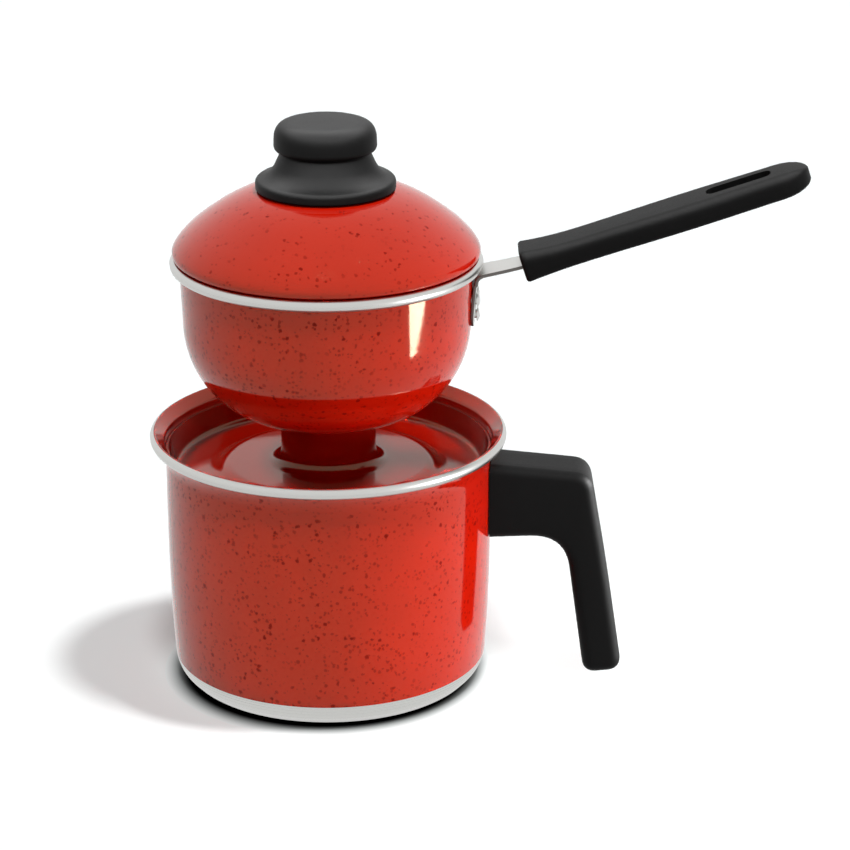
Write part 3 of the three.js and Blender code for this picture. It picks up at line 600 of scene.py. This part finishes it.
for i, (x, z, half, hugs) in enumerate(rows):
    if i:
        grown = bmesh.ops.extrude_edge_only(bm, edges=edges)["geom"]
        line = sorted((v for v in grown if isinstance(v, bmesh.types.BMVert)), key=lambda v: v.co.y)
        edges = [e for e in grown if isinstance(e, bmesh.types.BMEdge) and all(v in line for v in e.verts)]
    for j, v in enumerate(line):
        y = half * (j / 4 - 1)
        v.co = Vector((math.sqrt(x * x - y * y) if hugs else x, y, z)) * MM
strap = place("handle_strap", bm, "steamer", [satin_aluminium, sheared_edge_painted_shade],
              ["bowl_handle_strap"])
sheet = strap.modifiers.new("sheet", "SOLIDIFY")
sheet.thickness, sheet.offset, sheet.use_even_offset = STRAP_SHEET * MM, 0, True
# The rim of the sheet takes the dark edge finish, which is painted shade.
sheet.material_offset_rim = 1
soft_edge = strap.modifiers.new("rolled_edge", "BEVEL")
soft_edge.width, soft_edge.segments, soft_edge.limit_method = 0.5 * MM, 3, "ANGLE"

# %% [markdown]
# The grip is drawn along its own axis. Its section has a crowned top and a flat underside with small edges.
# The section is extruded from the collar to the tip, a little at a time, and each new end is scaled: the collar flares,
# the middle is fuller for the palm, and the tip closes in a round. Then the hanging slot is cut and the grip is tilted.

# %% Long grip
GRIP_LENGTH, GRIP_WIDTH, GRIP_HEIGHT = 122.5, 24.0, 9.8
COLLAR_TOP, COLLAR_BOTTOM, COLLAR_LENGTH = 1.9, 1.0, 24.0
PALM_WIDTH, PALM_AT, PALM_REACH = 2.6, 70, 42
TIP, TIP_NARROWEST = 13.0, 0.12
CROWN_FLAT, LOWER_EDGE = 7, 2
SLOT_CENTRE, SLOT_HALF_LENGTH, SLOT_HALF_WIDTH, SLOT_ROUND, SLOT_DEPTH = 93.5, 13.9, 4.1, 4, 40
TIP_START = GRIP_LENGTH - TIP
stations = [-1, -0.6, 0.2, 2, 5, 9, 14, 19, 24] + [32 + 8 * i for i in range(10)]
stations += [TIP_START + TIP * math.sin(math.radians(a)) for a in (0, 15, 30, 45, 58, 70, 80, 87)]
half_width, half_height = GRIP_WIDTH / 2, GRIP_HEIGHT / 2
crown = curve((CROWN_FLAT, half_height), (half_width, half_height), (half_width, 0.5), 12)
crown += curve((half_width, LOWER_EDGE - half_height), (half_width, -half_height),
               (half_width - LOWER_EDGE, -half_height), 5)
section = crown + [(-y, z) for y, z in crown[::-1]]
bm = bmesh.new()
end = bm.faces.new([bm.verts.new((0, y * MM, z * MM)) for y, z in section])
previous_scale = (1, 1, 1)
for along in stations:
    into_tip = max(along - TIP_START, 0) / TIP
    narrow = max(math.sqrt(1 - into_tip ** 2), TIP_NARROWEST)
    blunt = 1 - 0.1 * max(-along / 1.2 + 0.2, 0) ** 2
    from_palm = min(abs(along - PALM_AT) / PALM_REACH, 1)
    wide = 1 + PALM_WIDTH / GRIP_WIDTH * math.cos(math.pi / 2 * from_palm) ** 2
    swell = 2 / GRIP_HEIGHT * max(1 - max(along, 0) / COLLAR_LENGTH, 0) ** 2
    tall = (0.4 + 0.6 * narrow) * blunt
    scale = (narrow * wide * blunt, tall * (1 + COLLAR_TOP * swell), tall * (1 + COLLAR_BOTTOM * swell))
    if along > stations[0]:
        grown = bmesh.ops.extrude_face_region(bm, geom=[end])["geom"]
        if along > stations[1]:
            bmesh.ops.delete(bm, geom=[end], context="FACES_ONLY")
        end = next(f for f in grown if isinstance(f, bmesh.types.BMFace))
    for v in end.verts:
        half = 1 if v.co.z > 0 else 2
        v.co = Vector((along * MM, v.co.y / previous_scale[0] * scale[0], v.co.z / previous_scale[half] * scale[half]))
    previous_scale = scale
slot = bmesh.new()
slot_outline = rounded([(x * SLOT_HALF_LENGTH, y * SLOT_HALF_WIDTH, SLOT_ROUND)
                        for x, y in ((1, 1), (-1, 1), (-1, -1), (1, -1))], 6)
slot_face = slot.faces.new([
    slot.verts.new(((SLOT_CENTRE + x) * MM, y * MM, -SLOT_DEPTH / 2 * MM)) for x, y in slot_outline])
raised = bmesh.ops.extrude_face_region(slot, geom=[slot_face])["geom"]
bmesh.ops.translate(slot, verts=[v for v in raised if isinstance(v, bmesh.types.BMVert)],
                    vec=(0, 0, SLOT_DEPTH * MM))
bm = cut(bm, slot)
bmesh.ops.rotate(bm, verts=bm.verts, cent=(0, 0, 0), matrix=Matrix.Rotation(-GRIP_SLOPE, 3, "Y"))
bmesh.ops.translate(bm, verts=bm.verts, vec=GRIP_START * MM)
long_grip = place("long_grip", bm, "steamer", [phenolic], ["bowl_handle_grip"])

# %% [markdown]
# ## Sieve
#
# A loose disc with rings of holes lies on the bowl's round floor and keeps the grain above the neck.
# The holes and the rim are drawn as circles, Triangle Fill makes the sheet between them, and it is extruded to its
# thickness.

# %% Sieve
SIEVE_LEVEL, SIEVE_RADIUS, SIEVE_SHEET = 126.2, 44, 1
HOLE_RADIUS, HOLE_PITCH, HOLE_RINGS = 2.2, 9.6, 4
bm = bmesh.new()
bmesh.ops.create_circle(bm, radius=SIEVE_RADIUS * MM, segments=96, cap_ends=False)
for ring in range(HOLE_RINGS):
    count, out = max(6 * ring, 1), HOLE_PITCH * ring
    for i in range(count):
        swing = 2 * math.pi * i / count
        spot = Matrix.Translation(Vector((out * math.cos(swing), out * math.sin(swing), 0)) * MM)
        bmesh.ops.create_circle(bm, radius=HOLE_RADIUS * MM, segments=16, cap_ends=False, matrix=spot)
bmesh.ops.triangle_fill(bm, edges=bm.edges[:], use_beauty=True)
bmesh.ops.recalc_face_normals(bm, faces=bm.faces)
bmesh.ops.solidify(bm, geom=bm.faces[:], thickness=SIEVE_SHEET * MM)
lowest = min(v.co.z for v in bm.verts)
bmesh.ops.translate(bm, verts=bm.verts, vec=(0, 0, SIEVE_LEVEL * MM - lowest))
place("sieve_sheet", bm, "sieve", [satin_aluminium], ["sieve_plate"])

# %% [markdown]
# ## Hidden parts
#
# A few solid parts stay as they are, because they are only seen when something is taken apart. They get their metal.

# %% Hidden parts
for name, material in (("boiler_handle_bracket", zinc_steel), ("boiler_handle_nut", zinc_steel),
                       ("knob_insert", turned_brass), ("bowl_handle_screw", zinc_steel)):
    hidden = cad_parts[name]
    hidden.data.materials.clear()
    hidden.data.materials.append(material)
    print(name, material.name)

# %% [markdown]
# ## Floor and light
#
# The photograph was taken on white paper with a light from the upper right, which casts the shadow to the left.
# The pot stands in a dark ring where the paper gets no light, and the ring is painted into the paper by its distance
# from a point under the pot. Camera rays see nearly white paper, and mirrored rays see it as a plain white.

# %% Floor
CONTACT_CENTRE, CONTACT_DARK, CONTACT_END = Vector((-1.2, -2.6, 0)), 60.5, 72.0
PAPER_HALF, PAPER_DROP, PAPER_LIFT = 6, 0.1, 0.12
bm = bmesh.new()
bmesh.ops.create_grid(bm, x_segments=1, y_segments=1, size=PAPER_HALF)
floor_mesh = bpy.data.meshes.new("floor")
bm.to_mesh(floor_mesh)
bm.free()
floor = bpy.data.objects.new("floor", floor_mesh)
floor.location.z = -PAPER_DROP * MM
bpy.context.scene.collection.objects.link(floor)
paper, tree = finish("white_paper")
rays = node(tree, "ShaderNodeLightPath", {})
glossy = node(tree, "ShaderNodeMath", {0: rays.outputs["Is Glossy Ray"], 1: rays.outputs["Is Transmission Ray"]},
              operation="MAXIMUM")
spot = node(tree, "ShaderNodeTexCoord", {}).outputs["Object"]
away = node(tree, "ShaderNodeVectorMath", {0: spot, 1: CONTACT_CENTRE * MM}, operation="DISTANCE")
contact = node(tree, "ShaderNodeMapRange", {"Value": away.outputs["Value"], "From Min": CONTACT_DARK * MM,
                                            "From Max": CONTACT_END * MM}, interpolation_type="SMOOTHSTEP")
paper_seen = node(tree, "ShaderNodeMix", {"Factor": contact.outputs[0], "A": (0, 0, 0, 1), "B": paint("#f6fafa")},
                  data_type="RGBA")
tone = node(tree, "ShaderNodeMix", {"Factor": rays.outputs["Is Camera Ray"], "A": paint("#bebebe"),
                                    "B": paper_seen.outputs["Result"]}, data_type="RGBA")
matt = node(tree, "ShaderNodeBsdfDiffuse", {"Color": tone.outputs["Result"]})
lift = node(tree, "ShaderNodeMath", {0: rays.outputs["Is Camera Ray"], 1: PAPER_LIFT}, operation="MULTIPLY")
veil = node(tree, "ShaderNodeEmission", {"Color": paper_seen.outputs["Result"], "Strength": lift.outputs[0]})
lit = node(tree, "ShaderNodeAddShader", {0: matt.outputs[0], 1: veil.outputs[0]})
mirrored = node(tree, "ShaderNodeEmission", {"Color": paint("#fafafa")})
choice = node(tree, "ShaderNodeMixShader", {"Fac": glossy.outputs[0], 1: lit.outputs[0], 2: mirrored.outputs[0]})
node(tree, "ShaderNodeOutputMaterial", {"Surface": choice.outputs[0]})
floor_mesh.materials.append(paper)
print("floor is", 2 * PAPER_HALF, "m wide")

# %% [markdown]
# The world is white to the camera and in mirrors, and gives the object only a weak even light.

# %% World
WEAK_LIGHT = 0.13
world = bpy.data.worlds.new("studio")
bpy.context.scene.world = world
world.use_nodes = True
tree = world.node_tree
tree.nodes.clear()
rays = node(tree, "ShaderNodeLightPath", {})
seen = node(tree, "ShaderNodeMath", {0: rays.outputs["Is Camera Ray"], 1: rays.outputs["Is Glossy Ray"]},
            operation="MAXIMUM")
seen = node(tree, "ShaderNodeMath", {0: seen.outputs[0], 1: rays.outputs["Is Transmission Ray"]}, operation="MAXIMUM")
strength = node(tree, "ShaderNodeMapRange", {"Value": seen.outputs[0], "To Min": WEAK_LIGHT, "To Max": 1.0})
sky = node(tree, "ShaderNodeBackground", {"Color": (1, 1, 1, 1), "Strength": strength.outputs[0]})
node(tree, "ShaderNodeOutputWorld", {"Surface": sky.outputs[0]})
bpy.context.scene.view_settings.view_transform = "Standard"
print("world is set")

# %% [markdown]
# Two suns light everything: the window from the right, and the ceiling from the front. Only the pots and the knob block
# them, because in the photograph the handles leave no shadow on the paper. Light linking then gives single pieces
# what the studio's cards gave them: a softbox that gleams in the red walls, light on the sunken plate and in the mouth,
# and a sheen on the black mouldings.

# %% Lamps
def soft_sun(name, towards, strength, spread):
    """A distant lamp of this spread in degrees. Only its light is wanted, so mirrors don't show it."""
    lamp = bpy.data.lights.new(name, "SUN")
    lamp.energy, lamp.angle = strength, math.radians(spread)
    stand = bpy.data.objects.new(name, lamp)
    stand.rotation_euler = Vector(towards).to_track_quat("-Z", "Y").to_euler()
    stand.visible_glossy = False
    bpy.context.scene.collection.objects.link(stand)
    return stand


window = soft_sun("window", (-0.28, 0.06, -0.96), 1.55, 5)
ceiling = soft_sun("ceiling", (0, 0.36, -0.93), 1.25, 12)


def softbox(name, width, height, where, watts):
    """A rectangular lamp that faces the pot's axis."""
    lamp = bpy.data.lights.new(name, "AREA")
    lamp.shape, lamp.size, lamp.size_y, lamp.energy = "RECTANGLE", width * MM, height * MM, watts
    stand = bpy.data.objects.new(name, lamp)
    stand.location = Vector(where) * MM
    level = Vector((0, 0, where[2])) * MM
    stand.rotation_euler = (level - stand.location).to_track_quat("-Z", "Z").to_euler()
    stand.visible_camera = False
    bpy.context.scene.collection.objects.link(stand)
    return stand


glow = softbox("side_glow", 130, 80, (300, -70, 60), 0.52)
glow.visible_glossy = False
gleam = softbox("side_gleam", 125, 75, (300, -123, 112), 0.8)
gleam.visible_diffuse = False


def group(name, *objects):
    """A collection for light linking, which tells a lamp what it lights or what blocks it."""
    made = bpy.data.collections.new(name)
    for part in objects:
        made.objects.link(part)
    return made


pots = group("pots", boiler_mug, steam_sheet, bowl_sheet, lid_sheet, knob)
window.light_linking.blocker_collection = pots
ceiling.light_linking.blocker_collection = pots
gleam.light_linking.receiver_collection = group("gleaming", boiler_mug, bowl_sheet)
for side in (-1, 1):
    plate_light = soft_sun("plate_light", (side * 0.57, 0, -0.82), 1.8, 12)
    plate_light.light_linking.receiver_collection = group("plate", steam_sheet)
front = soft_sun("front_fill", (0, 0.7, -0.7), 0.35, 20)
front.light_linking.receiver_collection = group("walls", boiler_mug, bowl_sheet)
mouth = soft_sun("mouth_light", (0, 0, -1), 1.5, 8)
mouth.light_linking.receiver_collection = group("mouth", boiler_mug)
FROM_ABOVE, FROM_RIGHT = (0, 0.15, -0.99), (-0.98, 0.0, -0.05)
for name, towards, strength, spread, moulding in (
        ("knob_card", FROM_ABOVE, 22, 120, knob),
        ("long_grip_card", FROM_ABOVE, 11, 90, long_grip),
        ("side_grip_card", FROM_ABOVE, 3, 90, side_grip),
        ("edge_card", FROM_RIGHT, 46, 60, side_grip)):
    card = soft_sun(name, towards, strength, spread)
    card.visible_glossy, card.visible_diffuse = True, False
    card.light_linking.receiver_collection = group(name, moulding)
print("lamps:", *(lamp.name for lamp in bpy.data.lights))
